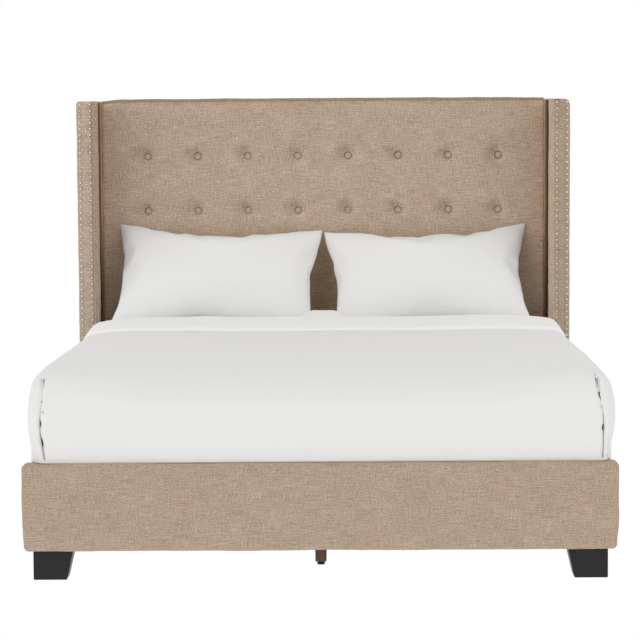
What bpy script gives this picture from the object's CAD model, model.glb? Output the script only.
"""An upholstered queen bed, dressed around its CAD frame. Metres, in the frame of the CAD model:
+X right, +Y from the foot to the head, +Z up."""
import math

import bpy
import numpy as np
from mathutils import Matrix, Vector

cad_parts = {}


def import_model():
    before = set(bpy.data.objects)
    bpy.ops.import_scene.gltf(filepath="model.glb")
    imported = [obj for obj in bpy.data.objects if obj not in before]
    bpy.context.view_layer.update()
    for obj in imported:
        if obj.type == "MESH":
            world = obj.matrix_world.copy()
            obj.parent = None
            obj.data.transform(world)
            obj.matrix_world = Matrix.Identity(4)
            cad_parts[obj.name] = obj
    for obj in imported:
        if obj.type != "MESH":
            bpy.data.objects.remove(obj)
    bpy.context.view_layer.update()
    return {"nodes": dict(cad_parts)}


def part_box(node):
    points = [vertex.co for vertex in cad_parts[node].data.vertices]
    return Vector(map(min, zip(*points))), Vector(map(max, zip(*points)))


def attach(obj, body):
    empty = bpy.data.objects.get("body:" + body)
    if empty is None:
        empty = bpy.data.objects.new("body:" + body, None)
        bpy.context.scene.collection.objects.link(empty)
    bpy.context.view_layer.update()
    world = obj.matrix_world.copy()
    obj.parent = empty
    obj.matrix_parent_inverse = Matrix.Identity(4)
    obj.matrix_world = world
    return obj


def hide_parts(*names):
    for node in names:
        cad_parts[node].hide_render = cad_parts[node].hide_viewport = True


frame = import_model()
SIDES = {"left": -1, "right": 1}


# ---------------------------------------------------------------- camera, stage and light
def camera(place, yaw, pitch, roll, lens):
    """A camera at place. Positive yaw looks right, positive pitch looks down."""
    ahead = Vector((math.sin(yaw) * math.cos(pitch), math.cos(yaw) * math.cos(pitch), -math.sin(pitch)))
    right = Vector((math.cos(yaw), -math.sin(yaw), 0))
    up = right.cross(ahead)
    tilted = right * math.cos(roll) - up * math.sin(roll)
    up = right * math.sin(roll) + up * math.cos(roll)
    rows = Matrix((tilted, up, -ahead)).transposed().to_4x4()
    data = bpy.data.cameras.new("camera")
    data.lens, data.sensor_width, data.clip_end = lens, 36, 100
    obj = bpy.data.objects.new("camera", data)
    obj.matrix_world = Matrix.Translation(place) @ rows
    bpy.context.scene.collection.objects.link(obj)
    bpy.context.scene.camera = obj


def sun(name, towards, strength, spread):
    data = bpy.data.lights.new(name, "SUN")
    data.energy, data.angle = strength, math.radians(spread)
    obj = bpy.data.objects.new(name, data)
    obj.rotation_euler = Vector(towards).to_track_quat("-Z", "Y").to_euler()
    bpy.context.scene.collection.objects.link(obj)


def world(backdrop, light):
    """A white studio, with its brightness to the camera and its brightness to the bed."""
    w = bpy.data.worlds.new("studio")
    bpy.context.scene.world = w
    w.use_nodes = True
    tree = w.node_tree
    tree.nodes.clear()
    path = tree.nodes.new("ShaderNodeLightPath")
    seen, lit = (tree.nodes.new("ShaderNodeBackground") for _ in range(2))
    seen.inputs[0].default_value, seen.inputs[1].default_value = (1, 1, 1, 1), backdrop
    lit.inputs[0].default_value, lit.inputs[1].default_value = (1, 0.995, 0.985, 1), light
    mix, out = tree.nodes.new("ShaderNodeMixShader"), tree.nodes.new("ShaderNodeOutputWorld")
    tree.links.new(path.outputs["Is Camera Ray"], mix.inputs[0])
    tree.links.new(lit.outputs[0], mix.inputs[1])
    tree.links.new(seen.outputs[0], mix.inputs[2])
    tree.links.new(mix.outputs[0], out.inputs[0])


camera((0.0537, -7.422, 1.2839), math.radians(-0.46), math.radians(5.149), math.radians(0.347), 131.8)
world(1.0, 0.83)
sun("key", (0.45, 0.80, -0.44), 0.25, 30)

bpy.context.scene.view_settings.view_transform = "Standard"


# ---------------------------------------------------------------- materials
class Look:
    """A Principled material with a few short calls for its nodes."""

    def __init__(self, name, **values):
        self.material = bpy.data.materials.new(name)
        self.material.use_nodes = True
        self.tree = self.material.node_tree
        self.shader = self.tree.nodes["Principled BSDF"]
        for key, value in values.items():
            self.shader.inputs[key.replace("_", " ")].default_value = value
        self.place = self.node("ShaderNodeTexCoord").outputs["Object"]

    def node(self, kind, inputs=None, **settings):
        node = self.tree.nodes.new(kind)
        for key, value in settings.items():
            setattr(node, key, value)
        for key, value in (inputs or {}).items():
            if isinstance(value, bpy.types.NodeSocket):
                self.tree.links.new(value, node.inputs[key])
            else:
                node.inputs[key].default_value = value
        return node

    def math(self, operation, *values):
        return self.node("ShaderNodeMath", dict(enumerate(values)), operation=operation).outputs[0]

    def scaled(self, vector, factors):
        inputs = {0: vector, 1: factors}
        return self.node("ShaderNodeVectorMath", inputs, operation="MULTIPLY").outputs[0]

    def noise(self, vector, factors, detail=2.0, roughness=0.5):
        inputs = {"Vector": self.scaled(vector, factors), "Scale": 1.0, "Detail": detail}
        return self.node("ShaderNodeTexNoise", {**inputs, "Roughness": roughness}).outputs[0]

    def around(self, value, gain):
        """A value about zero from a noise about a half."""
        return self.math("MULTIPLY", self.math("SUBTRACT", value, 0.5), gain)

    def total(self, *values):
        result = values[0]
        for value in values[1:]:
            result = self.math("ADD", result, value)
        return result

    def ramp(self, value, stops):
        node = self.node("ShaderNodeValToRGB", {0: value})
        ends = node.color_ramp.elements
        while len(ends) < len(stops):
            ends.new(0.5)
        for end, (place, colour) in zip(ends, stops):
            end.position, end.color = place, (*colour, 1)
        return node.outputs[0]

    def near(self, across, up, reach, tint, colour):
        """The colour, times tint where across and up are near zero, fading out at reach."""
        parts = [self.math("DIVIDE", value, size) for value, size in zip((across, up), reach)]
        away = self.math("SQRT", self.total(*[self.math("MULTIPLY", part, part) for part in parts]))
        inputs = {0: away, 1: 0.15, 2: 1.0, 3: 0.0, 4: 1.0}
        blend = self.node("ShaderNodeMapRange", inputs, interpolation_type="SMOOTHSTEP").outputs[0]
        return self.tinted(colour, self.ramp(blend, [(0.0, tint), (1.0, (1, 1, 1))]))

    def tinted(self, colour, tint):
        inputs = {0: 1.0, 6: colour, 7: tint}
        return self.node("ShaderNodeMix", inputs, data_type="RGBA", blend_type="MULTIPLY").outputs[2]

    def range(self, value, low, high):
        inputs = {0: value, 1: 0.0, 2: 1.0, 3: low, 4: high}
        return self.node("ShaderNodeMapRange", inputs).outputs[0]

    def set(self, key, socket):
        self.tree.links.new(socket, self.shader.inputs[key])

    def bump(self, height, distance):
        inputs = {"Height": height, "Distance": distance, "Strength": 1.0}
        self.set("Normal", self.node("ShaderNodeBump", inputs).outputs[0])

    def cloth_place(self):
        """Flat coordinates over the surface: across and up, whichever way it faces."""
        normal = self.node("ShaderNodeNewGeometry").outputs["True Normal"]
        parts = self.node("ShaderNodeSeparateXYZ", {0: normal}).outputs
        ax, ay, az = (self.math("ABSOLUTE", p) for p in parts)
        faces_x = self.math("GREATER_THAN", ax, self.math("MAXIMUM", ay, az))
        faces_z = self.math("GREATER_THAN", az, self.math("MAXIMUM", ax, ay))
        x, y, z = self.node("ShaderNodeSeparateXYZ", {0: self.place}).outputs
        pick = lambda test, a, b: self.node("ShaderNodeMix", {0: test, 2: a, 3: b}).outputs[0]
        flat = {0: pick(faces_x, x, y), 1: pick(faces_z, z, y), 2: faces_x}
        return self.node("ShaderNodeCombineXYZ", flat).outputs[0]


def srgb(*values):
    """A linear colour from sRGB values of 0 to 255."""
    scaled = [v / 255 for v in values]
    return tuple(v / 12.92 if v <= 0.04045 else ((v + 0.055) / 1.055) ** 2.4 for v in scaled)


# The place of the last button and the pitch of the buttons, across and up, and the pitch of the yarns.
BUTTON_LAST, BUTTON_PITCH = (0.63, 1.116), (0.18, 0.196)
THREAD_PITCH = 0.0016


def button_shadows(look, colour):
    """The worn hollow to the upper left of each button and the paler pull on its other side, and the
    shade between the pillows."""
    x, _, z = look.node("ShaderNodeSeparateXYZ", {0: look.place}).outputs
    for shift, reach, tint in (((-0.019, 0.010), (0.052, 0.044), (0.855, 0.845, 0.80)),
                               ((0.024, -0.004), (0.032, 0.034), (1.05, 1.05, 1.06))):
        places = []
        for value, last, step, pitch in zip((x, z), BUTTON_LAST, shift, BUTTON_PITCH):
            past = look.math("SUBTRACT", value, last + step)
            places.append(look.math("MAXIMUM", look.math("WRAP", past, pitch / 2, -pitch / 2), past))
        colour = look.near(*places, reach, tint, colour)
    return look.near(x, look.math("SUBTRACT", z, 0.62), (0.070, 0.22), (0.86, 0.74, 0.61), colour)


def linen(name="linen", dark=(133, 110, 88), mid=(187, 164, 142), pale=(235, 218, 199), contrast=0.80,
          fades=(), buttoned=False, sheen=0.12, specular=0.5):
    """A heathered plain weave: slubbed yarns of several shades both ways. fades has an axis number and
    the tints at places along it, the same on both sides of the middle. buttoned adds the shades round
    the buttons."""
    look = Look(name, Roughness=0.92, Sheen_Weight=sheen, Sheen_Roughness=0.5, Specular_IOR_Level=specular)
    flat = look.cloth_place()
    weft = look.noise(flat, (70, 640, 5), 1)
    warp = look.noise(flat, (640, 70, 5), 1)
    slub = look.noise(flat, (20, 350, 5), 1)
    long_warp = look.noise(flat, (350, 24, 5), 1)
    fleck = look.noise(flat, (560, 640, 3), 1)
    knot = look.noise(flat, (300, 330, 3), 1)
    cloud = look.noise(flat, (9, 15, 6), 2)
    shade = look.total(
        0.5,
        look.around(weft, 0.34 * contrast),
        look.around(warp, 0.38 * contrast),
        look.around(slub, 0.80 * contrast),
        look.around(long_warp, 0.58 * contrast),
        look.around(fleck, 2.35 * contrast),
        look.around(knot, 1.5 * contrast),
        look.around(cloud, 0.18),
    )
    colour = look.ramp(shade, [(0.0, srgb(*dark)), (0.5, srgb(*mid)), (1.0, srgb(*pale))])
    hue = look.noise(flat, (17, 26, 6), 3, 0.7)
    colour = look.tinted(colour, look.ramp(hue, [(0.32, (1.025, 0.985, 0.975)), (0.68, (0.98, 1.01, 1.01))]))
    for axis, stops in fades:
        away = look.math("ABSOLUTE", look.node("ShaderNodeSeparateXYZ", {0: look.place}).outputs[axis])
        first, last = stops[0][0], stops[-1][0]
        tone = look.node("ShaderNodeMapRange", {0: away, 1: first, 2: last, 3: 0.0, 4: 1.0}).outputs[0]
        tints = [((place - first) / (last - first), tint) for place, tint in stops]
        colour = look.tinted(colour, look.ramp(tone, tints))
    if buttoned:
        colour = button_shadows(look, colour)
    look.set("Base Color", colour)
    look.set("Roughness", look.range(shade, 0.98, 0.84))
    u, v, _ = look.node("ShaderNodeSeparateXYZ", {0: flat}).outputs
    thread = 2 * math.pi / THREAD_PITCH
    across = look.math("SINE", look.math("MULTIPLY", u, thread))
    along = look.math("SINE", look.math("MULTIPLY", v, thread))
    weave = look.math("MULTIPLY", look.math("MULTIPLY", across, along), 0.22)
    relief = [look.around(weft, 0.9), look.around(warp, 0.9), look.around(slub, 0.7)]
    look.bump(look.total(weave, *relief), 0.0005)
    return look.material


def cotton(name, colour, crease=0.0012, stripe=0.0):
    """Smooth percale with faint creases, or with a sateen stripe."""
    look = Look(name, Roughness=0.86, Sheen_Weight=0.1, Sheen_Roughness=0.4)
    flat = look.cloth_place()
    cloud = look.noise(look.place, (4, 4, 4), 2)
    tone = look.range(cloud, 0.985, 1.0)
    grey = look.node("ShaderNodeCombineXYZ", {0: tone, 1: tone, 2: tone}).outputs[0]
    look.set("Base Color", look.tinted((*colour, 1), grey))
    soft = look.noise(look.place, (9, 7, 9), 3, 0.55)
    fine = look.noise(look.place, (38, 30, 38), 3, 0.5)
    yarn = look.noise(flat, (900, 900, 3), 1)
    height = look.total(look.around(soft, 1.0), look.around(fine, 0.28), look.around(yarn, 0.03))
    if stripe:
        u = look.node("ShaderNodeSeparateXYZ", {0: flat}).outputs[0]
        band = look.math("SINE", look.math("MULTIPLY", u, 2 * math.pi / stripe))
        height = look.total(height, look.math("MULTIPLY", band, 0.1))
        look.set("Roughness", look.range(band, 0.9, 0.7))
    look.bump(height, crease)
    return look.material


def wood(name, pale, dark, roughness, along=0):
    """Grain that runs along axis number along."""
    look = Look(name, Roughness=roughness)
    stretch = [60.0, 60.0, 60.0]
    stretch[along] = 2.2
    fine = [420.0, 420.0, 420.0]
    fine[along] = 9.0
    rings = look.noise(look.place, stretch, 3, 0.55)
    pores = look.noise(look.place, fine, 2)
    shade = look.total(rings, look.around(pores, 0.5))
    look.set("Base Color", look.ramp(shade, [(0.28, srgb(*dark)), (0.72, srgb(*pale))]))
    look.set("Roughness", look.range(pores, roughness - 0.08, roughness + 0.12))
    look.bump(look.total(rings, look.around(pores, 0.8)), 0.0004)
    return look.material


def lacquer():
    """Satin black paint over wood, a little worn at random."""
    look = Look("black_lacquer", Roughness=0.42, Specular_IOR_Level=0.32)
    grain = look.noise(look.place, (220, 220, 7), 2)
    haze = look.noise(look.place, (14, 14, 14), 3)
    look.set("Base Color", look.ramp(look.total(grain, look.around(haze, 0.5)),
                                     [(0.2, srgb(19, 20, 22)), (0.8, srgb(27, 28, 31))]))
    look.set("Roughness", look.range(haze, 0.34, 0.54))
    look.bump(look.total(grain, haze), 0.00025)
    return look.material


def metal(name, colour, roughness, streak=(400, 400, 30)):
    look = Look(name, Metallic=1.0, Roughness=roughness)
    brushed = look.noise(look.place, streak, 2)
    blotch = look.noise(look.place, (45, 45, 45), 2)
    tone = [tuple(c * k for c in srgb(*colour)) for k in (0.8, 1.0)]
    look.set("Base Color", look.ramp(blotch, [(0.3, tone[0]), (0.7, tone[1])]))
    look.set("Roughness", look.range(brushed, roughness - 0.1, roughness + 0.14))
    look.bump(brushed, 0.00008)
    return look.material


def plastic():
    look = Look("black_nylon", Roughness=0.55)
    grain = look.noise(look.place, (900, 900, 900), 2)
    haze = look.noise(look.place, (60, 60, 60), 2)
    look.set("Base Color", look.ramp(haze, [(0.3, srgb(20, 20, 21)), (0.7, srgb(31, 31, 32))]))
    look.set("Roughness", look.range(grain, 0.45, 0.68))
    look.bump(grain, 0.00015)
    return look.material


def dust_cloth():
    """Spun-bonded black cambric, with its small pressed dots."""
    look = Look("cambric", Roughness=0.9)
    flat = look.cloth_place()
    cells = look.node("ShaderNodeTexVoronoi", {"Vector": look.scaled(flat, (380, 380, 1)), "Scale": 1.0,
                                               "Randomness": 0.25}).outputs[0]
    fibre = look.noise(flat, (160, 160, 3), 4, 0.7)
    shade = look.total(look.math("MULTIPLY", cells, 0.5), look.around(fibre, 0.8), 0.15)
    look.set("Base Color", look.ramp(shade, [(0.1, srgb(24, 24, 25)), (0.8, srgb(52, 51, 50))]))
    look.bump(shade, 0.0003)
    return look.material


LINEN = linen()
PANEL_TINTS = [(0, [(0.60, (1, 1, 1)), (0.71, (1.05, 1.05, 1.05)), (0.76, (1.09, 1.09, 1.09)),
                    (0.7935, (1.33, 1.31, 1.29))]),
               (2, [(0.80, (1.08, 1.08, 1.08)), (1.20, (1, 1, 1)), (1.296, (1, 1, 1)),
                    (1.312, (0.86, 0.85, 0.80))])]
PANEL_LINEN = linen("panel_linen", fades=PANEL_TINTS, buttoned=True)
DEEP_LINEN = linen("deep_linen", (98, 82, 62), (147, 129, 109), (194, 176, 155))
WING_TINTS = [(1, [(0.832, (0.14, 0.09, 0.05)), (0.880, (0.16, 0.11, 0.065)), (0.915, (0.27, 0.21, 0.15)),
                   (0.955, (0.50, 0.42, 0.34)), (1.0, (1.0, 0.91, 0.81))])]
BLOCK_LINEN = linen("block_linen", (127, 105, 83), (178, 156, 134), (226, 209, 190), 0.60)
WING_LINEN = linen("wing_linen", (138, 116, 94), (190, 169, 147), (232, 216, 198), fades=WING_TINTS,
                   sheen=0.0, specular=0.1)
BUTTON_LINEN = linen("button_linen", (142, 120, 99), (187, 167, 146), (217, 200, 182), 0.7)
WING_FRONTS = {
    -1: linen("left_wing_linen", fades=[(0, [(0.800, (0.80, 0.77, 0.76)), (0.811, (0.80, 0.77, 0.76)),
                                             (0.819, (1.02, 1.04, 1.06)), (0.8635, (1.02, 1.04, 1.06))])]),
    1: linen("right_wing_linen", fades=[(0, [(0.8195, (1, 1, 1)), (0.8225, (0.84, 0.84, 0.85)),
                                             (0.8575, (0.84, 0.84, 0.85)), (0.8635, (0.95, 0.95, 0.95))])]),
}
DUVET_COTTON = cotton("duvet_percale", srgb(237, 237, 236))
PILLOW_COTTON = cotton("pillow_percale", srgb(242, 242, 241), 0.0015)
FOLD_COTTON = cotton("duvet_reverse", srgb(249, 249, 248))
SEAM_COTTON = cotton("seam_thread", srgb(176, 174, 170), 0.0004)
GAP_COTTON = cotton("seam_gap", srgb(84, 82, 80), 0.0004)
SHEET_COTTON = cotton("sheet_percale", srgb(234, 234, 231), 0.001)
TICKING = cotton("ticking", srgb(224, 220, 211), 0.0015, stripe=0.012)
PINE_X = wood("pine_across", (212, 178, 128), (178, 137, 88), 0.62, 0)
PINE_Y = wood("pine_along", (212, 178, 128), (178, 137, 88), 0.62, 1)
PINE_Z = wood("pine_upright", (212, 178, 128), (178, 137, 88), 0.62, 2)
PLYWOOD = wood("plywood", (203, 168, 120), (172, 133, 88), 0.7, 0)
WALNUT = wood("walnut_stain", (112, 66, 36), (66, 34, 15), 0.5, 2)
LACQUER = lacquer()
ZINC = metal("zinc_plate", (172, 174, 178), 0.38)
NICKEL = metal("nickel", (226, 219, 207), 0.34, (300, 300, 300))
NYLON = plastic()
CAMBRIC = dust_cloth()


# ---------------------------------------------------------------- mesh tools
def volume(points, faces):
    """The signed volume inside a closed mesh."""
    fans = [(f[0], f[i], f[i + 1]) for f in faces for i in range(1, len(f) - 1)]
    a, b, c = np.transpose(points[np.array(fans)], (1, 0, 2))
    return np.einsum("ij,ij->", a, np.cross(b, c)) / 6


def piece(name, points, faces, material, body, stands_for=()):
    """A new mesh that rides on body and stands for the CAD nodes in stands_for."""
    points, faces = np.asarray(points, float), [list(map(int, f)) for f in faces]
    if volume(points, faces) < 0:
        faces = [f[::-1] for f in faces]
    mesh = bpy.data.meshes.new(name)
    mesh.from_pydata(points.tolist(), [], faces)
    mesh.validate()
    mesh.polygons.foreach_set("use_smooth", [True] * len(mesh.polygons))
    mesh.materials.append(material)
    obj = bpy.data.objects.new(name, mesh)
    bpy.context.scene.collection.objects.link(obj)
    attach(obj, body)
    if stands_for:
        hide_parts(*stands_for)
    return obj


def coords(obj):
    flat = np.empty(3 * len(obj.data.vertices))
    obj.data.vertices.foreach_get("co", flat)
    return flat.reshape(-1, 3)


def set_coords(obj, points):
    obj.data.vertices.foreach_set("co", np.asarray(points, float).ravel())
    obj.data.update()


def face_centres(obj):
    flat = np.empty(3 * len(obj.data.polygons))
    obj.data.polygons.foreach_get("center", flat)
    return flat.reshape(-1, 3)

def shade(obj, where, material):
    """Gives the faces whose centres pass where() another material."""
    obj.data.materials.append(material)
    slots = np.empty(len(obj.data.polygons), np.int32)
    obj.data.polygons.foreach_get("material_index", slots)
    slots[where(face_centres(obj))] = len(obj.data.materials) - 1
    obj.data.polygons.foreach_set("material_index", slots)


def press(obj, depth_at):
    """Moves every point inwards along its normal by depth_at(points), in metres."""
    points = coords(obj)
    normals = np.empty(points.size)
    obj.data.vertex_normals.foreach_get("vector", normals)
    set_coords(obj, points - normals.reshape(-1, 3) * np.asarray(depth_at(points))[:, None])


def wobble(points, wavelength, seed, waves=7):
    """A smooth random field from about -1 to 1 with features of about wavelength."""
    rng = np.random.default_rng(seed)
    total = np.zeros(len(points))
    for _ in range(waves):
        direction = rng.normal(size=3)
        direction *= 2 * math.pi / (wavelength * rng.uniform(0.7, 1.6)) / np.linalg.norm(direction)
        total += np.sin(points @ direction + rng.uniform(0, 2 * math.pi))
    return total / math.sqrt(waves * 2)


def smooth_step(x):
    x = np.clip(x, 0, 1)
    return x * x * (3 - 2 * x)


def bell(distance, width):
    return np.exp(-0.5 * (distance / width) ** 2)


def strip_faces(rows, count):
    """Quads between closed rows of count points."""
    i = np.arange(count)
    j = (i + 1) % count
    base = (np.arange(rows - 1) * count)[:, None]
    quads = np.stack([base + i, base + j, base + count + j, base + count + i], axis=-1)
    return quads.reshape(-1, 4).tolist()


def loft(sections, caps=True):
    """The points and faces of a closed skin through sections of equal length."""
    sections = np.asarray(sections, float)
    rows, count, _ = sections.shape
    faces = strip_faces(rows, count)
    if caps:
        faces.append(list(range(count))[::-1])
        faces.append([(rows - 1) * count + i for i in range(count)])
    return sections.reshape(-1, 3), faces


def lathe(profile, places, axis=(0, -1, 0), steps=16):
    """Copies of a turned shape. profile is (radius, distance along axis) from the axis to the axis."""
    axis = Vector(axis).normalized()
    side = axis.orthogonal().normalized()
    other = axis.cross(side)
    angles = np.arange(steps) * 2 * math.pi / steps
    ring = np.outer(np.cos(angles), side) + np.outer(np.sin(angles), other)
    points, faces = [], []
    for place in places:
        start = len(points)
        rings = [p for p in profile if p[0] > 0]
        points.append(np.array(place) + profile[0][1] * np.array(axis))
        for radius, rise in rings:
            points.extend(np.array(place) + radius * ring + rise * np.array(axis))
        points.append(np.array(place) + profile[-1][1] * np.array(axis))
        first, last = start + 1, start + 1 + (len(rings) - 1) * steps
        for k in range(steps):
            n = (k + 1) % steps
            faces.append([start, first + n, first + k])
            faces.append([len(points) - 1, last + k, last + n])
            for r in range(len(rings) - 1):
                a = first + r * steps
                faces.append([a + k, a + n, a + steps + n, a + steps + k])
    return points, faces


def spaced(low, high, radius, cells, bend=4):
    """Places from low to high, close together in the rounded ends."""
    ends = np.linspace(0, radius, bend + 1)[:-1]
    middle = np.linspace(low + radius, high - radius, cells + 1)
    return np.concatenate([low + ends, middle, (high - ends)[::-1]])


def padded_box(low, high, radii, cells, bend=4):
    """A box with rounded edges, as a closed even mesh. Radii and cells are by axis."""
    low, high, radii = (np.asarray(v, float) for v in (low, high, radii))
    axes = [spaced(low[a], high[a], radii[a], cells[a], bend) for a in range(3)]
    points, quads = [], []
    for a in range(3):
        u, v = (a + 1) % 3, (a + 2) % 3
        for end, value in ((0, low[a]), (1, high[a])):
            gu, gv = np.meshgrid(axes[u], axes[v], indexing="ij")
            grid = np.empty((*gu.shape, 3))
            grid[..., a], grid[..., u], grid[..., v] = value, gu, gv
            index = sum(len(p) for p in points) + np.arange(gu.size).reshape(gu.shape)
            corner = [index[:-1, :-1], index[1:, :-1], index[1:, 1:], index[:-1, 1:]]
            face = np.stack(corner if end else corner[::-1], axis=-1).reshape(-1, 4)
            points.append(grid.reshape(-1, 3))
            quads.append(face)
    points, quads = np.concatenate(points), np.concatenate(quads)
    microns = np.round(points * 1e6).astype(np.int64)
    _, first, back = np.unique(microns, axis=0, return_index=True, return_inverse=True)
    points, quads = points[first], back.reshape(-1)[quads]
    inner = np.clip(points, low + radii, high - radii)
    away = (points - inner) / radii
    length = np.linalg.norm(away, axis=1, keepdims=True)
    return inner + radii * away / np.maximum(length, 1e-9), quads


def box_of(node):
    low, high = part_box(node)
    return np.array(low), np.array(high)


# ---------------------------------------------------------------- headboard
PAD_LOW, PAD_HIGH = box_of("headboard_pad")
PAD_FRONT = PAD_LOW[1]
BUTTON_X = [(i - 3.5) * BUTTON_PITCH[0] for i in range(8)]
BUTTON_Z = {"upper": 1.116, "middle": 0.920, "lower": 0.724}
BUTTON_RADIUS = 0.0115


def tufting(x, z):
    """How far the cover is pulled back from its plane by the buttons and the creases they start."""
    depth = np.zeros_like(x)
    for bz in BUTTON_Z.values():
        for bx in BUTTON_X:
            r = np.hypot(x - bx, z - bz)
            away = np.maximum(r - 0.0100, 0)
            depth += 0.0100 * np.exp(-((away / 0.0026) ** 1.3))
            depth += 0.0056 * bell(r, 0.021) + 0.0020 * bell(r, 0.055)
            side = smooth_step((np.abs(x - bx) - 0.008) / 0.02) * bell(x - bx, 0.045)
            depth += 0.0011 * side * bell(z - bz, 0.006)
            below = smooth_step((np.abs(z - bz) - 0.008) / 0.02) * bell(z - bz, 0.06)
            depth += 0.0014 * below * bell(x - bx, 0.0055)
            depth += 0.0075 * bell(x - bx + 0.011, 0.013) * bell(z - bz - 0.016, 0.010)
    return depth


def gathered(low, high, centres, fine, reach, coarse):
    """Places from low to high, fine apart within reach of the centres and coarse apart elsewhere."""
    places = [low]
    while places[-1] < high - fine:
        near = min(abs(places[-1] + fine - c) for c in centres) < reach
        places.append(places[-1] + (fine if near else coarse))
    return np.array(places[:-1] + [high])


def top_drop(x):
    """How much the top edge falls towards the wings, and by how little it arches between them."""
    edge = np.abs(np.abs(x) - PAD_HIGH[0])
    corner = np.where(x < 0, 0.0050, 0.0010) * (1 - smooth_step(edge / 0.08)) ** 1.4
    return corner + 0.0030 + 0.0020 * (x / PAD_HIGH[0]) ** 2


def headboard_cover():
    """The tufted front, wrapped over the top edge and down the back of the frame."""
    low, high = PAD_LOW, PAD_HIGH
    round_top = 0.026
    front_z = gathered(low[2], high[2] - round_top, BUTTON_Z.values(), 0.0027, 0.026, 0.0085)
    bend = np.linspace(0, math.pi / 2, 9)[1:]
    over = [(PAD_FRONT + round_top * (1 - math.cos(t)), high[2] - round_top * (1 - math.sin(t)))
            for t in bend]
    top = [(y, high[2]) for y in np.linspace(PAD_FRONT + round_top, high[1] - 0.006, 9)[1:]]
    back = [(high[1] - 0.0017, high[2] - 0.0017), (high[1], high[2] - 0.006), (high[1], high[2] - 0.025)]
    inside = [(1.0588, high[2] - 0.025), (1.0588, low[2])]
    outline = np.array([(PAD_FRONT, z) for z in front_z] + over + top + back + inside)
    xs = np.concatenate([
        low[0] + np.array([0.0, 0.0015, 0.004, 0.008, 0.013]),
        gathered(low[0] + 0.019, high[0] - 0.019, BUTTON_X, 0.0027, 0.026, 0.0085),
        high[0] - np.array([0.013, 0.008, 0.004, 0.0015, 0.0]),
    ])
    soft = np.zeros(len(outline), bool)
    soft[: len(front_z) + len(over)] = True
    sections = []
    for x in xs:
        y, z = outline[:, 0].copy(), outline[:, 1].copy()
        edge = high[0] - abs(x)
        roll = 0.004 * (1 - smooth_step(edge / 0.030)) ** 1.6 + 0.003 * (1 - smooth_step(edge / 0.006))
        swell = 0.0035 * smooth_step(edge / 0.16)
        share = np.clip((high[2] - z) / 0.03, 0, 1)
        y[soft] += (roll - swell * share)[soft]
        z -= top_drop(x) * smooth_step((z - (high[2] - 0.12)) / 0.12)
        sections.append(np.column_stack([np.full(len(y), x), y, z]))
    sections = np.array(sections)
    fronts = sections[:, : len(front_z)]
    fade = smooth_step((high[2] - 0.02 - fronts[..., 2]) / 0.05)
    fronts[..., 1] += tufting(fronts[..., 0], fronts[..., 2]) * fade
    points, faces = loft(sections)
    obj = piece("headboard_cover", points, faces, PANEL_LINEN, "frame", ["headboard_pad"])
    band = lambda c: (c[:, 2] > high[2] - top_drop(c[:, 0]) - 0.0105) & (c[:, 1] < PAD_FRONT + 0.03)
    shade(obj, band, DEEP_LINEN)
    press(obj, lambda p: 0.0009 * wobble(p, 0.11, 3) + 0.0004 * wobble(p, 0.035, 4))


def back_cover():
    """Black cambric over the back of the frame, turned under at its edges."""
    low, high = box_of("headboard_back_cover")
    xs = spaced(low[0], high[0], 0.002, 180)
    up = spaced(low[2], high[2], 0.001, 120, 2)
    sections = []
    for x in xs:
        top = high[2] + 0.001 - top_drop(x) - 0.0035
        z = low[2] + (up - low[2]) * (top - low[2]) / (high[2] - low[2])
        edge = np.minimum(np.minimum(z - low[2], top - z), high[0] - abs(x))
        hem = 0.0008 * smooth_step((0.014 - edge) / 0.002)
        thin = 0.0022 * (1 - smooth_step(edge / 0.002))
        outer = high[1] - 0.0012 + hem - thin
        front = np.full(len(z), low[1] + 0.0002)
        heights = np.concatenate([z, z[::-1]])
        sections.append(np.column_stack([np.full(2 * len(z), x), np.concatenate([outer, front]), heights]))
    points, faces = loft(sections)
    obj = piece("headboard_dust_cover", points, faces, CAMBRIC, "frame", ["headboard_back_cover"])
    hem = 0.015
    staples(low, high)


def staples(low, high):
    """The wire staples along the turned edge of the back cloth."""
    margin, wire, crown = 0.0075, 0.00045, 0.005
    top = high[2] - 0.008
    across = np.linspace(low[0] + 0.03, high[0] - 0.03, 22)
    along = np.linspace(low[2] + 0.05, top - 0.05, 13)
    upper = lambda x: top - margin + 0.0005 * math.cos(40 * x)
    places = [((x, z), (crown, wire)) for x in across for z in (low[2] + margin, upper(x))]
    places += [((x, z), (wire, crown)) for z in along for x in (low[0] + margin, high[0] - margin)]
    points, faces = [], []
    for (x, z), (dx, dz) in places:
        centre, half = np.array([x, high[1] - 0.0002, z]), np.array([dx, 0.0004, dz])
        box, sides = padded_box(centre - half, centre + half, (0.0003, 0.0003, 0.0003), (2, 1, 2), 2)
        faces += [[i + len(box) * len(points) for i in side] for side in sides]
        points.append(box)
    piece("dust_cover_staples", np.concatenate(points), faces, ZINC, "frame")


def covered_buttons():
    """Fabric-covered buttons with a rolled edge, each on its shank."""
    r = BUTTON_RADIUS
    profile = [(0, 0.0068), (r * 0.3, 0.0066), (r * 0.58, 0.0059), (r * 0.8, 0.0045), (r * 0.94, 0.0027),
               (r, 0.0008), (r * 0.97, -0.0008), (r * 0.82, -0.002), (0.0022, -0.0024),
                (0.0022, -0.03), (0, -0.03)]
    for row, z in BUTTON_Z.items():
        base = PAD_FRONT + 0.0092
        points, faces = lathe(profile, [(x, base, z) for x in BUTTON_X], steps=24)
        piece(f"{row}_buttons", points, faces, BUTTON_LINEN, "frame", [f"{row}_button_row"])


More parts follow.
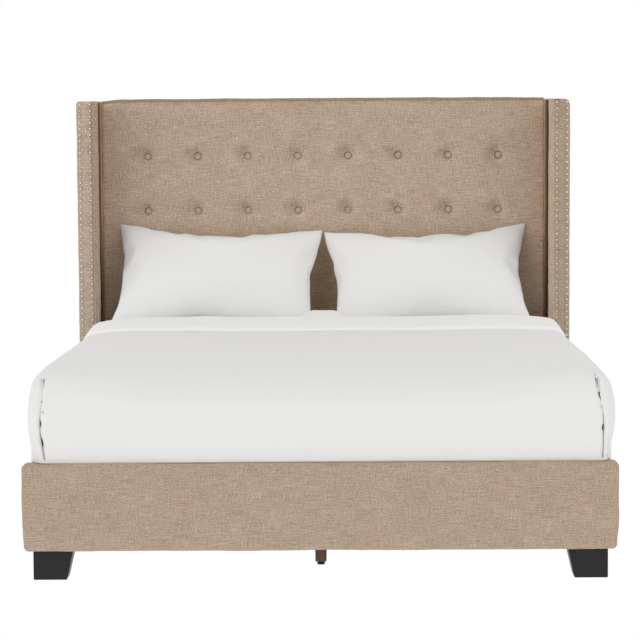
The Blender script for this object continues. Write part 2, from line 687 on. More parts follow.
# ---------------------------------------------------------------- wings and nailheads
WING = dict(inner=0.7935, outer=0.8635, front=0.820, back=1.100, low=0.0805, top=1.315)
NAIL_X = {-1: {"inner": 0.8155, "outer": 0.8515}, 1: {"inner": 0.8215, "outer": 0.857}}
WING_LIP = {-1: 0.0064, 1: 0.0008}
NAIL_PITCH = 0.021
NAIL_Z = [0.106 + NAIL_PITCH * i for i in range(58)]
NAIL_RADIUS = 0.0048


def wing_outline(nails, lip):
    """The right wing's plan, anticlockwise: a padded roll on its inner front edge, then the flat
    band between the rows of nails."""
    inner, outer, front, back = (WING[k] for k in ("inner", "outer", "front", "back"))
    r = 0.009
    arc = np.linspace(0, math.pi / 2, 11)
    tuck = [(inner - lip + 0.0004, front + 0.0205), (inner - lip, front + 0.0165)]
    roll = [(inner - lip + r - r * math.cos(t), front + r - 0.0025 - r * math.sin(t)) for t in arc]
    band = np.linspace(inner - lip + r, outer - 0.004, 30)[1:]
    peak = nails - 0.0120
    lift = [-0.0025 - 0.0040 * smooth_step((x - band[0]) / (peak - band[0])) if x < peak else
            -0.0065 + 0.0075 * smooth_step((x - peak) / 0.0075) for x in band]
    face = [(x, front + dy) for x, dy in zip(band, lift)]
    corner = [(outer - 0.004 + 0.004 * math.sin(t), front + 0.005 - 0.004 * math.cos(t)) for t in arc[3::3]]
    side = [(outer, y) for y in np.linspace(front + 0.012, back - 0.006, 18)]
    rear = [(outer - 0.0012, back - 0.0012), (outer - 0.006, back), (inner + 0.006, back),
            (inner + 0.001, back - 0.0012)]
    inside = [(inner, y) for y in np.linspace(back - 0.006, front + 0.026, 16)]
    inside.append((inner - 0.2 * lip, front + 0.0232))
    return np.array(tuck + roll + face + corner + side + rear + inside)


def wing_cover(side, sign):
    plan = wing_outline(NAIL_X[sign]["inner"], WING_LIP[sign])
    ahead, behind = np.roll(plan, -1, axis=0), np.roll(plan, 1, axis=0)
    tangent = ahead - behind
    inward = np.column_stack([-tangent[:, 1], tangent[:, 0]])
    inward /= np.linalg.norm(inward, axis=1, keepdims=True)
    levels = []
    for r, low, sense in ((0.004, WING["low"], 1), (0.008, WING["top"], -1)):
        bend = np.linspace(0, math.pi / 2, 7)
        ends = [(low + sense * r * (1 - math.sin(t)), r * (1 - math.cos(t))) for t in bend]
        levels.append(ends[::-1] if sense > 0 else ends)
    (z0, _), (z1, _) = levels[0][-1], levels[1][0]
    body = [(z, 0.0) for z in np.linspace(z0, z1, 290)[1:-1]]
    sections = []
    for z, inset in levels[0] + body + levels[1]:
        flat = plan + inward * inset
        flat[:, 0] += 0.0025 * (1 + sign) * smooth_step((plan[:, 0] - 0.858) / 0.004)
        round_off = (0.008 + 0.002 * sign) * np.clip((flat[:, 0] - 0.845) / 0.020, 0, 1.2) ** 3
        height = z - round_off * smooth_step((z - WING["top"] + 0.05) / 0.05)
        sections.append(np.column_stack([flat * (sign, 1), height]))
    if sign < 0:
        sections = [s[::-1] for s in sections]
    points, faces = loft(sections)
    obj = piece(f"{side}_wing_upholstery", points, faces, LINEN, "frame", [f"{side}_wing_cover"])
    edge = WING["inner"] + np.array([0.0002 - WING_LIP[sign], 0.0015])
    inner = lambda c: np.abs(c[:, 0]) < np.where(c[:, 1] > WING["front"] + 0.018, edge[1], edge[0])
    shade(obj, lambda c: (c[:, 1] < WING["front"] + 0.010) & ~inner(c), WING_FRONTS[sign])
    shade(obj, inner, WING_LINEN)

    def depth(p):
        front = smooth_step((WING["front"] + 0.012 - p[:, 1]) / 0.01)
        pinch = np.zeros(len(p))
        for x in NAIL_X[sign].values():
            place = (p[:, 2] - NAIL_Z[0]) / NAIL_PITCH
            gap = np.abs(place - np.round(place)) * NAIL_PITCH
            inside = (p[:, 2] > NAIL_Z[0] - 0.012) & (p[:, 2] < NAIL_Z[-1] + 0.012)
            pinch += np.where(inside, bell(np.hypot(np.abs(p[:, 0]) - x, gap), 0.0062), 0)
        return 0.0020 * front * pinch + 0.0007 * wobble(p, 0.10, 11) + 0.0003 * wobble(p, 0.03, 12)

    press(obj, depth)


def nailheads(side, sign):
    r = NAIL_RADIUS
    profile = [(0, 0.0031), (r * 0.35, 0.0029), (r * 0.66, 0.0022), (r * 0.9, 0.0011), (r, 0.0002),
               (r * 0.97, -0.0004), (0, -0.0006)]
    for row, x in NAIL_X[sign].items():
        places = [(sign * x, WING["front"] - 0.0003, z) for z in NAIL_Z]
        points, faces = lathe(profile, places, steps=14)
        piece(f"{side}_{row}_nailheads", points, faces, NICKEL, "frame",
              [f"{side}_{row}_nail_strip"])


# ---------------------------------------------------------------- footboard, rails and legs
SINK = 0.0035   # the foam of the footboard is pressed down this much along its top


def upholstered_block(name, node, radii, cells, crown, seed, faces_out, grow=np.zeros(3), waist=0.0,
                      sink=0.0):
    """A box in fabric over foam, crowned on the side faces_out, an axis number and a sign. It stands grow
    proud of its node each way, draws in by waist at its lower corners, and is sink lower at its top."""
    low, high = box_of(node)
    low, high = low - grow, high + grow - (0, 0, sink)
    points, faces = padded_box(low, high, radii, cells)
    axis, sign = faces_out
    others = [a for a in range(3) if a != axis]
    middle, half = (low + high) / 2, (high - low) / 2
    rel = (points - middle) / half
    outside = smooth_step(rel[:, axis] * sign)
    flat = np.prod([1 - np.abs(rel[:, a]) ** 6 for a in others], axis=0)
    points[:, axis] += sign * crown * outside * flat
    below = 1 - smooth_step((points[:, 2] - low[2]) / 0.09)
    points[:, 0] -= np.sign(points[:, 0]) * waist * below * smooth_step((np.abs(points[:, 0]) - 0.76) / 0.05)
    obj = piece(name, points, faces, BLOCK_LINEN, "frame", [node])
    press(obj, lambda p: 0.0008 * wobble(p, 0.13, seed) + 0.0003 * wobble(p, 0.035, seed + 1))
    return obj


def footboard_and_rails():
    upholstered_block("footboard_upholstery", "footboard_cover", (0.015, 0.010, 0.013), (150, 6, 26), 0.003,
                      21, (1, -1), grow=np.array([0.003, 0, 0]), waist=0.004, sink=SINK)
    for side, sign in SIDES.items():
        upholstered_block(f"{side}_rail_upholstery", f"{side}_rail_cover", (0.006, 0.003, 0.006),
                          (3, 160, 20), 0.0, 23, (0, sign))


LEG_TOP, LEG_TAPER, CENTRE_LEG_FOOT = 0.0803, 0.018, 0.0092

def legs():
    """Tapered block legs with eased edges. The outer side is upright."""
    for side, sign in SIDES.items():
        for end, node in (("front", f"{side}_front_leg"), ("rear", f"{side}_rear_leg")):
            low, high = box_of(node)
            high[2] = LEG_TOP
            points, faces = padded_box(low, high, (0.0035, 0.0035, 0.0035), (8, 8, 8))
            share = 1 - (points[:, 2] - low[2]) / (high[2] - low[2])
            keep = high if sign > 0 else low
            points[:, 0] = keep[0] + (points[:, 0] - keep[0]) * (1 - share * LEG_TAPER / (high[0] - low[0]))
            hold = low if end == "front" else high
            points[:, 1] = hold[1] + (points[:, 1] - hold[1]) * (1 - share * LEG_TAPER / (high[1] - low[1]))
            piece(f"{side}_{end}_block_leg", points, faces, LACQUER, "frame", [node])


def centre_legs():
    """Square tapered support legs with eased edges, bored for their glides."""
    for i in range(1, 5):
        low, high = box_of(f"centre_leg_{i}")
        low[2] = CENTRE_LEG_FOOT
        points, faces = padded_box(low, high, (0.003, 0.003, 0.003), (6, 6, 14))
        middle = (low + high) / 2
        narrow = 1 - 0.10 * (1 - (points[:, 2:] - low[2]) / (high[2] - low[2]))
        points[:, :2] = middle[:2] + (points[:, :2] - middle[:2]) * narrow
        piece(f"centre_leg_{i}_tapered", points, faces, WALNUT, "frame", [f"centre_leg_{i}"])


def glides():
    profile = [(0, 0), (0.0098, 0), (0.0108, 0.0006), (0.011, 0.0016), (0.011, 0.0045), (0.0105, 0.0056),
               (0.0065, 0.0062), (0.0041, 0.0066), (0.0041, 0.05), (0, 0.05)]
    for i in range(1, 5):
        low, high = box_of(f"glide_{i}")
        place = ((low[0] + high[0]) / 2, (low[1] + high[1]) / 2, low[2])
        points, faces = lathe(profile, [place], axis=(0, 0, 1), steps=32)
        piece(f"glide_{i}_turned", points, faces, NYLON, f"glide_{i}", [f"glide_{i}"])


# ---------------------------------------------------------------- box spring, mattress and sheet
def ring_tube(low, high, corner, z, radius):
    """Tape edging round a slab, as a closed tube."""
    path = []
    arcs = [(high[0] - corner, high[1] - corner, 0), (low[0] + corner, high[1] - corner, 90),
            (low[0] + corner, low[1] + corner, 180), (high[0] - corner, low[1] + corner, 270)]
    for cx, cy, start in arcs:
        for t in np.radians(np.linspace(start, start + 90, 9)):
            path.append((cx + corner * math.cos(t), cy + corner * math.sin(t), math.cos(t), math.sin(t)))
    sections = []
    for x, y, nx, ny in path + path[:1]:
        angles = np.linspace(0, 2 * math.pi, 9)[:-1]
        out, up = np.cos(angles) * radius, np.sin(angles) * radius
        sections.append(np.column_stack([x + nx * (out - radius), y + ny * (out - radius), z + up]))
    return loft(sections, caps=False)


def slab(name, node, body, corner, edge, cells, puff=0.0):
    low, high = box_of(node)
    inset = np.array([0.004, 0.004, 0.0])
    points, faces = padded_box(low + inset, high - inset, (corner, corner, edge), cells)
    middle, half = (low + high) / 2, (high - low) / 2
    obj = piece(name, points, faces, TICKING, body, [node])
    if puff:
        side = lambda p: smooth_step((1 - np.abs(p[:, 2] - middle[2]) / half[2]) * 3)
        press(obj, lambda p: -0.0035 * side(p) * (np.abs(p[:, 2] - middle[2]) < half[2] - edge) * puff)
    for level, z in (("lower", low[2] + edge * 0.9), ("upper", high[2] - edge * 0.9)):
        points, faces = ring_tube(low, high, corner, z, 0.0045)
        tape = piece(f"{name}_{level}_tape", points, faces, TICKING, body)


def sleeping_surface():
    slab("box_spring_ticking", "box_spring", "foundation", 0.045, 0.010, (70, 90, 8))
    slab("mattress_ticking", "mattress", "mattress", 0.060, 0.016, (70, 90, 12), 1.0)


def fitted_sheet():
    """A thin shell over the mattress, open below, with soft gathers at its elastic hem."""
    low, high = box_of("fitted_sheet")
    shell = []
    for grow in (0.0, -0.0013):
        lo, hi = low - (grow, grow, 0.03), high + (grow, grow, grow)
        points, faces = padded_box(lo, hi, (0.060, 0.060, 0.018), (90, 120, 16), 5)
        keep = ~np.all(points[faces][:, :, 2] < low[2] + 0.001, axis=1)
        points[:, 2] = np.maximum(points[:, 2], low[2])
        shell.append((points, faces[keep]))
    (outer, outer_faces), (inner, inner_faces) = shell
    edges = {}
    for quad in outer_faces:
        for a, b in zip(quad, np.roll(quad, -1)):
            edges[(a, b)] = edges.get((a, b), 0) + 1
    rim = [(a, b) for a, b in edges if (b, a) not in edges]
    shift = len(outer)
    faces = outer_faces.tolist() + (inner_faces[:, ::-1] + shift).tolist()
    faces += [[b, a, a + shift, b + shift] for a, b in rim]
    obj = piece("fitted_cotton_sheet", np.concatenate([outer, inner]), faces, SHEET_COTTON, "mattress",
                ["fitted_sheet"])
    gather = lambda p: smooth_step((low[2] + 0.09 - p[:, 2]) / 0.09)
    points = coords(obj)
    around = points[:, 0] - points[:, 1]
    ripple = np.sin(around * 95 + 2 * wobble(points, 0.3, 31)) * 0.5 + 0.5
    middle = (low + high) / 2
    away = points[:, :2] - middle[:2]
    reach = np.maximum(np.linalg.norm(away, axis=1, keepdims=True), 0.001)
    points[:, :2] -= away / reach * (0.0003 * ripple * gather(points))[:, None]
    set_coords(obj, points)


# ---------------------------------------------------------------- duvet
FRONT, TUCK_BACK = -1.078, -1.0390
HEM, LEDGE, CEILING, TUCK = 0.190, 0.3272, 0.5282, 0.264
SILL = LEDGE - SINK - 0.0022
ROOM = dict(rail=0.7925, bed=0.7655)
SIDE = [(0.8015, 0.19), (0.8025, 0.25), (0.8035, 0.32), (0.8050, 0.38), (0.8060, 0.432), (0.8052, 0.466),
        (0.8020, 0.494), (0.7950, 0.5205), (0.7850, 0.5405), (0.7720, 0.5530), (0.757, 0.5580)]
CROWN = [(0.757, 0.5580), (0.70, 0.5605), (0.60, 0.5610), (0.30, 0.5600), (0.0, 0.5590)]
SEAM = {-1: [(0.752, SILL), (0.7585, 0.36), (0.7645, 0.395), (0.7665, 0.43), (0.7655, 0.464)],
        1: [(0.773, LEDGE), (0.775, 0.36), (0.7755, 0.395), (0.776, 0.43), (0.7735, 0.464)]}
ROLL_START = -1.005   # where the duvet's top begins to roll over its front edge
CLOSE = np.array([0, 0.0018, 0.0038, 0.0062, 0.0092, 0.013, 0.018, 0.025])
SIDE_COUNT, TOP_COUNT, UNDER_COUNT = 58, 50, 50


def curve(points, count=240):
    """A smooth line through points, finely divided."""
    p = np.array(points, float)
    p = np.concatenate([[2 * p[0] - p[1]], p, [2 * p[-1] - p[-2]]])
    steps = max(2, count // (len(p) - 3))
    t = np.linspace(0, 1, steps, endpoint=False)[:, None]
    parts = []
    for a, b, c, d in zip(p[:-3], p[1:-2], p[2:-1], p[3:]):
        square, cube = 2 * a - 5 * b + 4 * c - d, 3 * b - a - 3 * c + d
        parts.append(0.5 * (2 * b + (c - a) * t + square * t**2 + cube * t**3))
    return np.concatenate([*parts, p[-2][None]])


def at_lengths(line, lengths):
    walked = np.concatenate([[0], np.cumsum(np.linalg.norm(np.diff(line, axis=0), axis=1))])
    return np.column_stack([np.interp(lengths, walked, line[:, k]) for k in range(line.shape[1])]), walked[-1]


def divided(line, count):
    """count points along a line, close together at its start."""
    _, length = at_lengths(line, [0])
    rest = np.linspace(CLOSE[-1], length, count - len(CLOSE) + 1)[1:]
    return at_lengths(line, np.concatenate([CLOSE, rest]))[0]


def duvet_half(sign, w, side_w, bottom, rise, droop, nip):
    """One half of the outside of a section: from its lower edge up the side to the seam, and over
    to the middle. w and side_w go from 0 in the body to 1 in the plane of the front panel."""
    side = curve(SIDE)
    side = side[side[:, 1] >= bottom][::-1]
    body_side = divided(side, SIDE_COUNT)[::-1]
    front_side = divided(curve(SEAM[sign])[::-1], SIDE_COUNT)[::-1]
    crown = divided(curve(CROWN), TOP_COUNT)
    flat = crown.copy()
    flat[:, 0] *= SEAM[sign][-1][0] / CROWN[0][0]
    flat[:, 1] = SEAM[sign][-1][1]
    share = w + (side_w - w) * smooth_step((crown[:, :1] - 0.40) / 0.33)
    up = body_side + (front_side - body_side) * side_w
    half = np.concatenate([up, (crown + (flat - crown) * share)[1:]])
    if sign > 0:
        half[:, 0] += 0.0088 * smooth_step((half[:, 0] - 0.60) / 0.2) * (1 - side_w)
    high = smooth_step((half[:, 1] - 0.46) / 0.10)
    half[:, 1] += (rise(half[:, 0] * sign) if callable(rise) else rise) * high
    lean = np.clip((half[:, 0] - 0.62) / 0.19, 0, 1) ** 2
    half[:, 1] -= droop * lean * high
    half[:, 0] -= nip * bell(half[:, 1] - 0.345, 0.030) * (half[:, 0] > 0.79)
    return half * (sign, 1)


def duvet_section(y, hem, ledge, ceiling, rise=0.0):
    bottom = min(hem, ledge)
    w = front_roll(y)
    droops = {-1: [-0.022, -0.008, 0.010, 0.021, 0.036], 1: [-0.004, -0.006, -0.002, 0.010, 0.028]}
    droop = {sign: np.interp(y, [-1.0, -0.5, 0.0, 0.5, 0.69], droops[sign]) * (1 - w) for sign in (-1, 1)}
    nip = 1 - smooth_step((y - TUCK_BACK) / 0.11)
    nips = {sign: nip * (0.0105 + 0.003 * sign) for sign in (1, -1)}
    right, left = (duvet_half(sign, w, side_roll(y), bottom, rise, droop[sign], nips[sign])
                   for sign in (1, -1))
    under = [(ROOM["rail"], z) for z in np.linspace(hem, ledge, 5)] + [(ROOM["bed"] + 0.0005, ledge)]
    under += [(ROOM["bed"], z) for z in np.linspace(ledge, ceiling, 5)[1:]]
    under += [(x, ceiling) for x in np.linspace(ROOM["bed"], 0, UNDER_COUNT - 9)[1:]]
    under = np.array(under)
    if hem >= ledge:
        under = divided(curve(CROWN), TOP_COUNT) * (ROOM["rail"] / CROWN[0][0], 0) + (0, ledge)
    shares = [min(1.0, (abs(half[0, 0]) - 0.006) / ROOM["rail"]) for half in (right, left)]
    inner = np.concatenate([under * (shares[0], 1), under[::-1][1:] * (-shares[1], 1)])
    outline = np.concatenate([right, left[::-1][1:], inner[::-1]])
    return np.column_stack([outline[:, 0], np.full(len(outline), y), outline[:, 1]])


ROLL_SHARE = np.linspace(0.012, 1, 400)
ROLL_Y = FRONT - 0.074 * np.log(np.sin(math.pi * ROLL_SHARE / 2))


def front_roll(y):
    """The share of the way, from the level top to the front panel, that the soft roll has come at y."""
    if y > -0.77:
        return 0.012 * (1 - smooth_step((y + 0.77) / 0.1))
    return float(np.interp(-y, -ROLL_Y, ROLL_SHARE))


def side_roll(y):
    """The same at the sides, where the seam holds a squarer corner."""
    t = np.clip((ROLL_START - y) / (ROLL_START - FRONT), 0, 1)
    return 1 - math.sqrt(max(0.0, 1 - t * t))


FOLD = 0.240


def fold_rise(level, y):
    """The rise of the turned-down end over the top: pressed down behind, where the pillows lie."""
    pressed = 0.027 * smooth_step((y - 0.46) / 0.17) * smooth_step(level / 0.02)

    def rise(x):
        under_pillow = smooth_step((np.abs(x) - 0.035) / 0.06)
        loose = 0.0022 * (bell(x + 0.40, 0.035) + bell(x - 0.51, 0.055)) * smooth_step(level / 0.004)
        return level - pressed * under_pillow + loose

    return rise


def hem_at(y):
    """The height of the lower edge: a little wavy, and lifted towards the footboard."""
    lifted = (1 - smooth_step((y - TUCK_BACK) / 0.13)) ** 1.3
    return HEM + 0.004 * math.sin(y * 11.3 + 0.6) + 0.003 * math.sin(y * 23.1 + 2.0) + 0.118 * lifted


def front_panel(ring):
    """The points and faces that fill the front of the duvet, edge to edge. ring is the first section,
    whose points are numbered from 0."""
    top = np.arange(SIDE_COUNT - 1, SIDE_COUNT + 2 * TOP_COUNT - 2)
    right, left = np.arange(SIDE_COUNT), np.arange(top[-1], top[-1] + SIDE_COUNT)[::-1]
    under = np.arange(left[0] + 1, len(ring))[::-1]
    share = lambda row: (ring[row, 0] - ring[row[0], 0]) / (ring[row[-1], 0] - ring[row[0], 0])
    rows, points = [under], []
    for i in range(SIDE_COUNT - 1):
        a, b = ring[right[i]], ring[left[i]]
        up = i / (SIDE_COUNT - 1)
        across = (share(under) * (1 - up) + share(top) * up)[1:-1, None]
        inside = a + (b - a) * across
        inside[:, 2] += 0.0006 * (1 - up) * np.minimum(1, 12 * (across * (1 - across))[:, 0])
        level = (inside[:, 2] - SILL) / (ring[top[0], 2] - SILL)
        upper = np.sin(math.pi * np.clip(level, 0, 1)) ** 0.6
        full = np.where(level > 0.5, upper, 0.65 + 0.35 * smooth_step(level / 0.5))
        inside[:, 1] -= 0.0050 * np.minimum(1, 5 * across * (1 - across))[:, 0] * full
        index = len(ring) + sum(len(p) for p in points) + np.arange(len(inside))
        rows.append(np.concatenate([[right[i]], index, [left[i]]]))
        points.append(inside)
    rows.append(top)
    grid = np.array(rows)
    quads = np.stack([grid[:-1, :-1], grid[:-1, 1:], grid[1:, 1:], grid[1:, :-1]], axis=-1)
    return np.concatenate(points), quads.reshape(-1, 4)


def duvet_body():
    """Sections of the duvet from the front panel to the head."""
    sections = []
    for w in (1, 0.985, 0.955, 0.915, 0.865, 0.80, 0.72, 0.63, 0.54, 0.45):
        y = ROLL_START + (FRONT - ROLL_START) * math.sqrt(1 - (1 - w) ** 2)
        if y < TUCK_BACK - 0.001:
            sections.append(duvet_section(y, SILL, SILL, SILL))
    sections.append(duvet_section(TUCK_BACK, SILL, SILL, SILL))
    for y in (-1.0386, -1.0345, -1.030, -1.0262):
        sections.append(duvet_section(y, hem_at(y), LEDGE, TUCK))
    for y in np.concatenate([np.linspace(-1.0246, -0.90, 22), np.linspace(-0.885, FOLD - 0.03, 74)]):
        sections.append(duvet_section(y, hem_at(y), LEDGE, CEILING))
    lip = [(-0.018, 0.0), (-0.007, 0.0), (-0.0008, -0.0002), (0.0012, 0.0003), (0.0022, 0.0014),
           (0.0032, 0.0027), (0.0046, 0.0040), (0.0064, 0.0052), (0.0090, 0.0063), (0.0130, 0.0074),
           (0.018, 0.0083)]
    climb = lambda step: 0.0085 + 0.0225 * (1 - (1 - (step - 0.01) / 0.41) ** 1.5)
    band = [(y - FOLD, climb(y - FOLD)) for y in np.linspace(FOLD + 0.024, 0.650, 24)]
    last = ((0.662, 0.0305), (0.674, 0.0275), (0.683, 0.021), (0.688, 0.012), (0.690, 0.002))
    end = [(y - FOLD, level) for y, level in last]
    for step, level in lip + band + end:
        y = FOLD + step
        sections.append(duvet_section(y, hem_at(y), LEDGE, CEILING, fold_rise(level, y)))
    return sections


def seam_path(sign):
    """The seam between the front panel and the side, up the front and back over the shoulder."""
    up = [(x, FRONT, z) for x, z in curve(SEAM[sign], 60)]
    over = []
    for y in FRONT + (-1.0 - FRONT) * np.linspace(0, 1, 40) ** 2:
        w = side_roll(y)
        x, z = np.array(SIDE[-1]) + (np.array(SEAM[sign][-1]) - SIDE[-1]) * w
        over.append((x, y, z))
    return np.array(up + over) * (sign, 1, 1)


def seam_distance(points, sign):
    return np.linalg.norm(points[:, None] - seam_path(sign)[None], axis=2).min(axis=1)


STITCH_GAPS = {-1: [(0.551, 0.011), (0.487, 0.0045), (0.430, 0.006), (0.378, 0.010)],
               1: [(0.508, 0.0065), (0.474, 0.0055), (0.412, 0.007)]}


def mark_seams(obj):
    """Grey thread along the front seams, darker where the stitches gape."""
    obj.data.materials.append(SEAM_COTTON)
    obj.data.materials.append(GAP_COTTON)
    centres = face_centres(obj)
    index = np.zeros(len(centres), np.int32)
    obj.data.polygons.foreach_get("material_index", index)
    for sign in SIDES.values():
        near = np.flatnonzero((centres[:, 1] < -1.0) & (centres[:, 0] * sign > 0.70))
        q = centres[near]
        away = seam_distance(q, sign)
        index[near[(away < 0.0019) & (q[:, 2] > LEDGE + 0.002)]] = 2
        for at, tall in STITCH_GAPS[sign]:
            index[near[(away < 0.0030) & (np.abs(q[:, 2] - at) < tall)]] = 3
    obj.data.polygons.foreach_set("material_index", index)


def duvet():
    sections = duvet_body()
    points, faces = loft(sections)
    count = len(sections[0])
    front, quads = front_panel(sections[0])
    quads = np.where(quads >= count, quads + len(points) - count, quads)
    faces = faces[:-2] + faces[-1:] + quads.tolist()
    points = np.concatenate([points, front])
    obj = piece("duvet_cotton", points, faces, DUVET_COTTON, "duvet", ["duvet"])

    def depth(p):
        x, y, z = np.abs(p[:, 0]), p[:, 1], p[:, 2]
        front = (y < -1.040) & (z > LEDGE + 0.004)
        outside = (z > HEM + 0.01) & ((x > 0.796) | (z > CEILING + 0.008) | front)
        total = np.zeros(len(p))
        for sign in SIDES.values():
            near = (y < -0.88) & (p[:, 0] * sign > 0.65)
            q = p[near]
            away = seam_distance(q, sign)
            fade = smooth_step((-0.975 - q[:, 1]) / 0.04)
            groove = 0.0090 * bell(away, 0.0030)
            for at, tall in STITCH_GAPS[sign]:
                groove += 0.017 * bell(away, 0.0038) * bell(q[:, 2] - at, tall)
            across, up = np.transpose(SEAM[sign])
            beyond = np.abs(q[:, 0]) > np.interp(q[:, 2], up, across)
            waves = np.sin(q[:, 2] * 190 + 2.5 * wobble(q, 0.08, 41))
            pucker = 0.0016 * waves * np.exp(-away / 0.014) * beyond
            total[near] += (groove + pucker) * fade
        beyond = smooth_step((x - 0.79) / 0.02) * smooth_step((0.55 - z) / 0.05)
        hang = smooth_step((0.53 - z) / 0.25)
        drape = 0.0060 * wobble(p * (1, 1, 0.3), 0.26, 42) * beyond * hang * smooth_step((y + 0.98) / 0.12)
        calm = 0.0018 * wobble(p, 0.45, 43) + 0.0005 * wobble(p, 0.12, 44)
        return np.where(outside, total + drape + calm, 0)

    shade(obj, lambda c: (c[:, 1] > FOLD - 0.002) & (c[:, 2] > CEILING + 0.006), FOLD_COTTON)
    mark_seams(obj)
    press(obj, depth)


# ---------------------------------------------------------------- pillows
PILLOW_LEAN = math.radians(49.5)
PILLOW_SIZE = np.array([0.729, 0.470, 0.165])


def pillow_grid(width, height, depth, columns, rows, seed):
    """Two sheets joined at their edges, a little apart, ready to be filled."""
    u, v = np.meshgrid(np.linspace(-1, 1, columns + 1), np.linspace(-1, 1, rows + 1), indexing="ij")
    rim = (np.abs(u) > 1 - 1e-6) | (np.abs(v) > 1 - 1e-6)
    index = np.arange(u.size).reshape(u.shape)
    crown = depth / 2 * ((1 - u**4) * (1 - v**4)) ** 0.6
    front = np.stack([u * width / 2, v * height / 2, crown], axis=-1).reshape(-1, 3)
    back_index = np.where(rim, index, -1)
    free = ~rim
    back_index[free] = u.size + np.arange(free.sum())
    back = np.stack([u[free] * width / 2, v[free] * height / 2, -crown[free]], axis=-1)
    points = np.concatenate([front, back])
    points += np.column_stack([0 * points[:, 0], 0 * points[:, 0], 0.002 * wobble(points, 0.06, seed)])
    quads = lambda g: np.stack([g[:-1, :-1], g[1:, :-1], g[1:, 1:], g[:-1, 1:]], axis=-1).reshape(-1, 4)
    return points, np.concatenate([quads(index), quads(back_index)[:, ::-1]]).tolist()


def settle(obj, modifier):
    """Gives the mesh the shape that the modifier makes of it, and removes the modifier."""
    settled = obj.evaluated_get(bpy.context.evaluated_depsgraph_get())
    flat = np.empty(3 * len(settled.data.vertices))
    settled.data.vertices.foreach_get("co", flat)
    obj.modifiers.remove(modifier)
    set_coords(obj, flat.reshape(-1, 3))


def filled(obj, pressure, frames):
    """Fills a closed cloth shell with Blender's cloth simulation, and applies the result."""
    scene = bpy.context.scene
    modifier = obj.modifiers.new("fill", "CLOTH")
    cloth = modifier.settings
    cloth.quality, cloth.mass, cloth.air_damping = 6, 0.3, 2
    cloth.tension_stiffness = cloth.compression_stiffness = 25
    cloth.shear_stiffness, cloth.bending_stiffness = 12, 2.5
    cloth.use_pressure, cloth.uniform_pressure_force = True, pressure
    cloth.effector_weights.gravity = 0
    modifier.point_cache.frame_start, modifier.point_cache.frame_end = 1, frames
    for number in range(1, frames + 1):
        scene.frame_set(number)
    settle(obj, modifier)
    scene.frame_set(1)


def soften(obj, times):
    """Smooths a mesh by drawing each point towards its neighbours."""
    modifier = obj.modifiers.new("soften", "SMOOTH")
    modifier.factor, modifier.iterations = 0.5, times
    settle(obj, modifier)


def fitted(points):
    """The filled shell brought to the pillow's own size about its middle."""
    points = points - (points.max(axis=0) + points.min(axis=0)) / 2
    return points * PILLOW_SIZE / (points.max(axis=0) - points.min(axis=0))


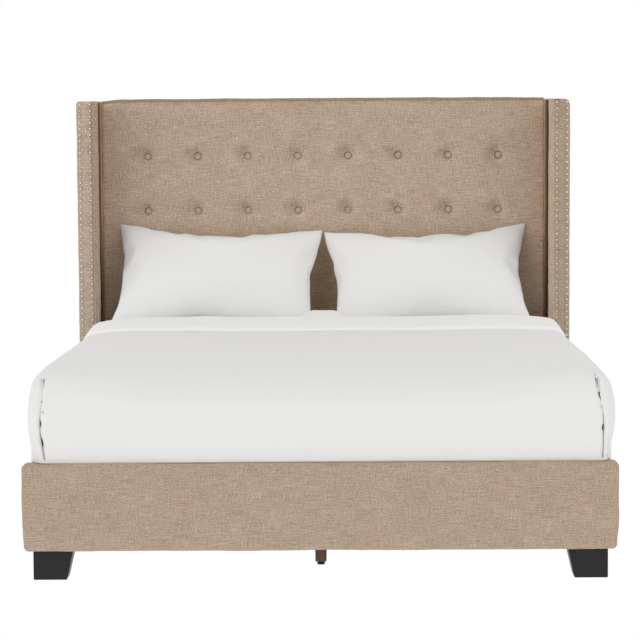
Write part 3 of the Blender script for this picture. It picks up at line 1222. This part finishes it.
def pillow(side, sign, seed):
    node = f"{side}_pillow"
    low, high = box_of(node)
    middle = (low + high) / 2
    points, faces = pillow_grid(0.745, 0.50, 0.10, 84, 56, seed)
    obj = piece(f"{side}_bed_pillow", points, faces, PILLOW_COTTON, node, [node])
    filled(obj, 3.0, 24)
    soften(obj, 14)
    firm = fitted(coords(obj))
    soften(obj, 70)
    smooth = fitted(coords(obj))
    half = PILLOW_SIZE / 2
    points = firm + (smooth - firm) * smooth_step((0.25 - firm[:, 1:2] / half[1]) / 0.8)
    cos, sin = math.cos(PILLOW_LEAN), math.sin(PILLOW_LEAN)
    x, b, c = points.T
    inward, upward = -sign * x / half[0], b / half[1]
    spread = 0.036 * smooth_step((inward + 1) / 2) * smooth_step((0.9 - upward) / 1.6)
    flare = 0.015 * smooth_step((-inward - 0.6) / 0.4) * smooth_step((-0.5 - upward) / 0.4)
    x = x * (1 - 0.014 * (1 - upward**2)) + sign * (spread + flare + 0.004)
    narrow = (0.009 + 0.009 * sign) * (0.25 + 0.75 * smooth_step((0.95 - upward) / 0.7))
    x = x - sign * narrow * smooth_step((-inward - 0.1) / 0.9)
    b = b - 0.009 * bell(inward + 0.5, 0.25) * smooth_step(upward)
    if sign > 0:
        low_top = 0.007 + 0.004 * np.maximum(inward, 0) + 0.015 * bell(inward + 0.15, 0.38)
    else:
        low_top = 0.002 + 0.011 * bell(inward, 0.36)
    b = b - low_top * smooth_step((upward + 1) / 2)
    slump = 0.034 * smooth_step((inward + 0.2) / 1.2) * smooth_step((upward + 1) / 2)
    b = b * (1 - 0.05 * (1 - inward**2)) - slump
    c = c * (1 + 0.12 * upward) * (1 - 0.48 * smooth_step((-0.1 - upward) / 0.9))
    y = middle[1] + b * cos - c * sin
    z = middle[2] + b * sin + c * cos - 0.004 * smooth_step(-upward)
    soft = lambda value, limit, width: limit + width * np.log1p(np.exp((value - limit) / width))
    z = soft(z, box_of("fitted_sheet")[1][2] + 0.001, 0.004)
    y = -soft(-y, -(PAD_FRONT - 0.006), 0.004)
    set_coords(obj, np.column_stack([x + middle[0], y, z]))
    sub = obj.modifiers.new("smooth", "SUBSURF")
    sub.levels = sub.render_levels = 1


# ---------------------------------------------------------------- CAD pieces that stay
KEPT = {
    "left_headboard_post": PINE_Z, "right_headboard_post": PINE_Z,
    "headboard_top_rail": PINE_X, "headboard_bottom_rail": PINE_X,
    "headboard_face_board": PLYWOOD,
    "left_wing_frame": PINE_Z, "right_wing_frame": PINE_Z, "footboard_core": PLYWOOD,
    "left_rail_board": PINE_Y, "right_rail_board": PINE_Y,
    "left_slat_ledger": PINE_Y, "right_slat_ledger": PINE_Y,
    **{f"slat_{i}": PINE_X for i in range(1, 5)},
    **{f"{s}_{e}_bracket": ZINC for s in SIDES for e in ("foot", "head")},
    **{f"{s}_{e}_{h}_bolt": ZINC for s in SIDES for e in ("foot", "head") for h in ("lower", "upper")},
}


def dress_kept_pieces():
    for name, material in KEPT.items():
        obj = frame["nodes"][name]
        obj.data.materials.clear()
        obj.data.materials.append(material)


def floor():
    """A white floor lit from below, as on a light table."""
    look = Look("studio_floor", Roughness=0.8)
    glow = look.node("ShaderNodeEmission", {0: (1, 1, 1, 1), 1: 1.0})
    look.tree.links.new(glow.outputs[0], look.tree.nodes["Material Output"].inputs[0])
    mesh = bpy.data.meshes.new("floor")
    reach = 30
    corners = [(-reach, -reach, 0), (reach, -reach, 0), (reach, reach, 0), (-reach, reach, 0)]
    mesh.from_pydata(corners, [], [(0, 1, 2, 3)])
    mesh.materials.append(look.material)
    obj = bpy.data.objects.new("floor", mesh)
    bpy.context.scene.collection.objects.link(obj)


headboard_cover()
back_cover()
covered_buttons()
for side, sign in SIDES.items():
    wing_cover(side, sign)
    nailheads(side, sign)
footboard_and_rails()
legs()
centre_legs()
glides()
sleeping_surface()
fitted_sheet()
duvet()
pillow("left", -1, 51)
pillow("right", 1, 52)
dress_kept_pieces()
floor()
